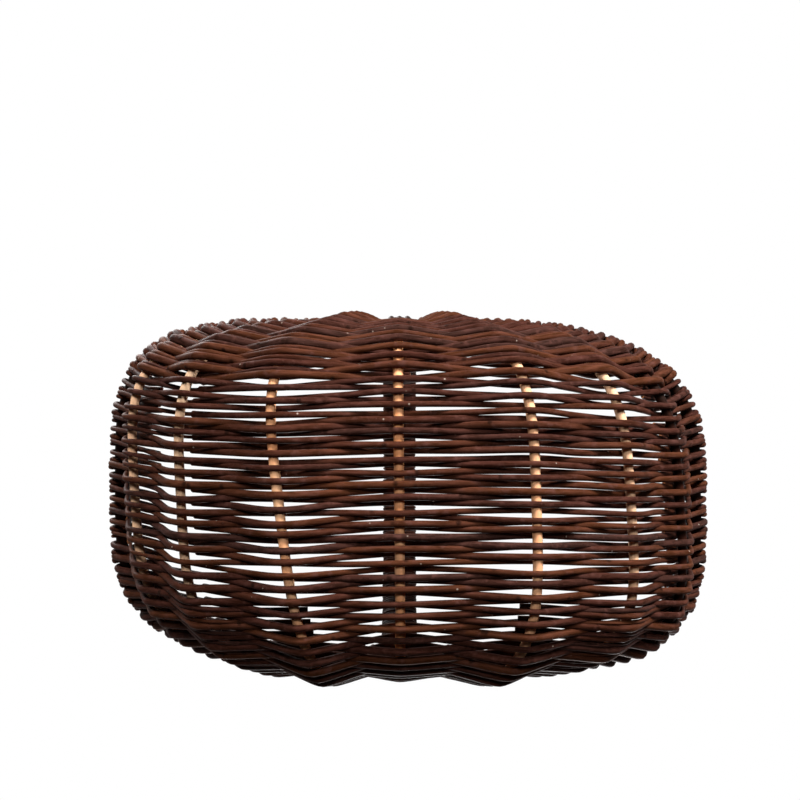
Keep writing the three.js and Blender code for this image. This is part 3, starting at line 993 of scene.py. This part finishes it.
class BASKET_OT_ears(bpy.types.Operator):
    """Winds the two ears over the rim, in arcs that fan out from the handle legs"""

    bl_idname = "basket.ears"
    bl_label = "Ears"

    def execute(self, context):
        luck = random.Random(sizes().seed + 4)
        for end, label in ((-1, "front"), (1, "back")):
            node = f"ear_{label}"
            radius = sizes().rod_diameter / 2
            places, bends = self.fan_places(end, radius)
            radii = [radius * luck.uniform(0.94, 1.05) for _ in places]
            name = node + "_binding"
            ear = bent_rod(name, places, radii, "willow_bark", luck.random(), steps=5, bends=bends)
            place_piece(ear, "brown_willow", node)
        return {"FINISHED"}

    def fan_places(self, end, radius):
        """Rows that run from rim to rim, packed tight, from the legs down to the first weaving rod."""
        first = arc_at_drop(EAR_TOP_DROP)
        last = EAR_ARC + ROW_PITCH - EAR_ROW_PITCH / 2
        rows = 2 * int((last - first) / EAR_ROW_PITCH / 2)
        places = []
        bends = []
        for row in range(rows):
            share = self.share_at(last - (rows - 1 - row) * EAR_ROW_PITCH, end)
            next_share = self.share_at(last - (rows - 2 - row) * EAR_ROW_PITCH, end)
            step = 1 if row % 2 == 0 else -1
            for index in range(1, 2 * LAST_STAKE):
                stake = (index - LAST_STAKE) * step
                places.append(self.pass_stake(end, stake, share, radius, side_of(row, stake)))
                bends.append(EAR_BEND if bends else 1.0)
            rim_side = side_of(row, LAST_STAKE)
            if row < rows - 1:
                turn = rim_turn(LAST_STAKE * step, share, next_share, radius, rim_side)
                places += turn
                bends += [1.0] * len(turn)
        bends[-1] = 1.0
        return places, bends

    def share_at(self, distance, end):
        return keel_share(distance if end < 0 else KEEL_LENGTH - distance)

    def pass_stake(self, end, stake, share, radius, side):
        """Over or under a stake, or behind the handle legs where they are in the way."""
        place = crossing(stake, share, radius, side)
        drop = RIM_Z - stake_place(stake, share).z
        narrowness = 1 - smooth_step(drop, 0.5 * EAR_DROP, 0.9 * EAR_DROP)
        middle = stake_place(stake, share) + outward(stake, share) * radius
        if stake != 0:
            return place.lerp(middle, narrowness * 0.6)
        at_leg = 1 - smooth_step(drop, RIM_Z - LEG_LOW.z + radius, RIM_Z - LEG_LOW.z + 2 * LEG_RADIUS)
        behind = end * (RIM_HALF_WIDTH - RIM_RADIUS / 2 - radius)
        place.y += (behind - place.y) * at_leg
        return place


# Stage

def soft_lamp(name, place, target, width, watts):
    """A round soft lamp that shines from a place to a target."""
    light = bpy.data.lights.new(name, "AREA")
    light.shape = "DISK"
    light.size = width
    light.energy = watts
    lamp = bpy.data.objects.new(name, light)
    bpy.context.collection.objects.link(lamp)
    lamp.location = place
    lamp.rotation_euler = (Vector(target) - Vector(place)).to_track_quat("-Z", "Y").to_euler()


class BASKET_OT_stage(bpy.types.Operator):
    """Sets the pale floor, the soft light and the photograph's camera"""

    bl_idname = "basket.stage"
    bl_label = "Stage"

    def execute(self, context):
        self.lay_floor()
        self.light_world()
        middle = (0, 0, RIM_Z / 2)
        for name, (place, width, watts) in LAMPS.items():
            soft_lamp(name, place, middle, width, watts)
        self.set_camera()
        context.scene.view_settings.view_transform = "Standard"
        return {"FINISHED"}

    def lay_floor(self):
        bpy.ops.mesh.primitive_plane_add(size=FLOOR_SIZE, location=(0, 0, 0))
        floor = bpy.context.object
        floor.name = "floor"
        material = bpy.data.materials.new("studio_floor")
        material.use_nodes = True
        tree = material.node_tree
        shader = tree.nodes["Principled BSDF"]
        shader.inputs["Base Color"].default_value = rgba(finish().floor)
        shader.inputs["Roughness"].default_value = 0.9
        shader.inputs["Emission Color"].default_value = (1, 1, 1, 1)
        away = feed(tree, add_node(tree, "ShaderNodeVectorMath", operation="LENGTH"),
                    i0=tree.nodes.new("ShaderNodeTexCoord").outputs["Object"])
        glow = add_node(tree, "ShaderNodeMapRange", clamp=True)
        feed(tree, glow, i0=away.outputs["Value"], i1=FLOOR_GLOW_NEAR, i2=FLOOR_GLOW_FAR)
        feed(tree, glow, i3=FLOOR_GLOW, i4=1.0)
        tree.links.new(glow.outputs[0], shader.inputs["Emission Strength"])
        geometry = tree.nodes.new("ShaderNodeNewGeometry")
        clear = tree.nodes.new("ShaderNodeBsdfTransparent")
        mix = tree.nodes.new("ShaderNodeMixShader")
        tree.links.new(geometry.outputs["Backfacing"], mix.inputs[0])
        tree.links.new(shader.outputs[0], mix.inputs[1])
        tree.links.new(clear.outputs[0], mix.inputs[2])
        tree.links.new(mix.outputs[0], tree.nodes["Material Output"].inputs["Surface"])
        floor.data.materials.append(material)
        floor.visible_diffuse = False
        floor.visible_glossy = False
        floor.visible_transmission = False
        floor.visible_shadow = False

    def light_world(self):
        world = bpy.data.worlds.new("studio")
        bpy.context.scene.world = world
        world.use_nodes = True
        tree = world.node_tree
        background = tree.nodes["Background"]
        rays = tree.nodes.new("ShaderNodeLightPath").outputs
        seen = math_node(tree, "MAXIMUM", rays["Is Camera Ray"], rays["Is Transmission Ray"])
        seen = math_node(tree, "MAXIMUM", seen, rays["Is Glossy Ray"])
        strength = tree.nodes.new("ShaderNodeMapRange")
        feed(tree, strength, i0=seen, i3=WORLD_LIGHT, i4=1.0)
        background.inputs["Color"].default_value = (1, 1, 1, 1)
        tree.links.new(strength.outputs[0], background.inputs["Strength"])

    def set_camera(self):
        data = bpy.data.cameras.new("camera")
        data.sensor_width = SENSOR_WIDTH
        data.lens = SENSOR_WIDTH * PIXELS_PER_METRE_AT_RIM * CAMERA_DISTANCE / FRAME_PIXELS
        data.clip_end = 20
        camera = bpy.data.objects.new("camera", data)
        bpy.context.collection.objects.link(camera)
        camera.location = (CAMERA_SIDE, CAMERA_ACROSS, RIM_Z - CAMERA_DISTANCE)
        camera.rotation_euler = (math.pi, 0, 0)
        bpy.context.scene.camera = camera


class BASKET_PT_maker(bpy.types.Panel):
    """Lists the basket's pieces in the order that they are made"""

    bl_idname = "BASKET_PT_maker"
    bl_label = "Willow Basket"
    bl_space_type = "VIEW_3D"
    bl_region_type = "UI"
    bl_category = "Basket"

    def draw(self, context):
        for group in (context.scene.basket_sizes, context.scene.basket_finish):
            for key in group.__annotations__:
                self.layout.prop(group, key)
        for operator in OPERATORS:
            self.layout.operator(operator.bl_idname)


OPERATORS = (
    BASKET_OT_stage,
    BASKET_OT_rim_hoop,
    BASKET_OT_ribs,
    BASKET_OT_weaving_rods,
    BASKET_OT_inner_tips,
    BASKET_OT_handle,
    BASKET_OT_ears,
)
CLASSES = (BasketSizes, BasketFinish, *OPERATORS, BASKET_PT_maker)


def register():
    for item in CLASSES:
        bpy.utils.register_class(item)
    bpy.types.Scene.basket_sizes = PointerProperty(type=BasketSizes)
    bpy.types.Scene.basket_finish = PointerProperty(type=BasketFinish)


def unregister():
    del bpy.types.Scene.basket_finish
    del bpy.types.Scene.basket_sizes
    for item in reversed(CLASSES):
        bpy.utils.unregister_class(item)


def main():
    register()
    bpy.ops.basket.stage()
    bpy.ops.basket.rim_hoop()
    bpy.ops.basket.ribs()
    bpy.ops.basket.weaving_rods()
    bpy.ops.basket.inner_tips()
    bpy.ops.basket.handle()
    bpy.ops.basket.ears()


if __name__ == "__main__":
    main()
